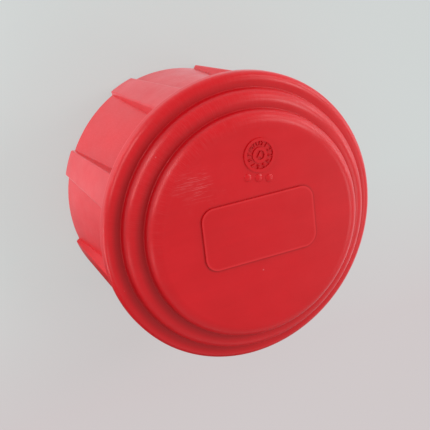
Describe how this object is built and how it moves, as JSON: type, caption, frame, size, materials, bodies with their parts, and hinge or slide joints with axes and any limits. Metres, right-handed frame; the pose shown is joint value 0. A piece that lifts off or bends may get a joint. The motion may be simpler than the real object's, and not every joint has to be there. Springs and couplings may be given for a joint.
{
  "type": "tube insert plug",
  "caption": "Soft round plug pushed into the end of a tube: a closed face in rounded steps, a flange that stops at the tube's mouth, and a hollow barrel with wedge pads that grip the bore.",
  "frame": {"origin": "centre of the open end, in the plane of its rim", "axes": "+Z along the plug's axis from the open end to the closed face, +X along the length of the raised panel"},
  "size_m": [0.11, 0.11, 0.0756],
  "materials": {
    "soft_plastic": "satin moulded red"
  },
  "bodies": {
    "root": {"plug_body": "soft_plastic"}
  },
  "joints": []
}
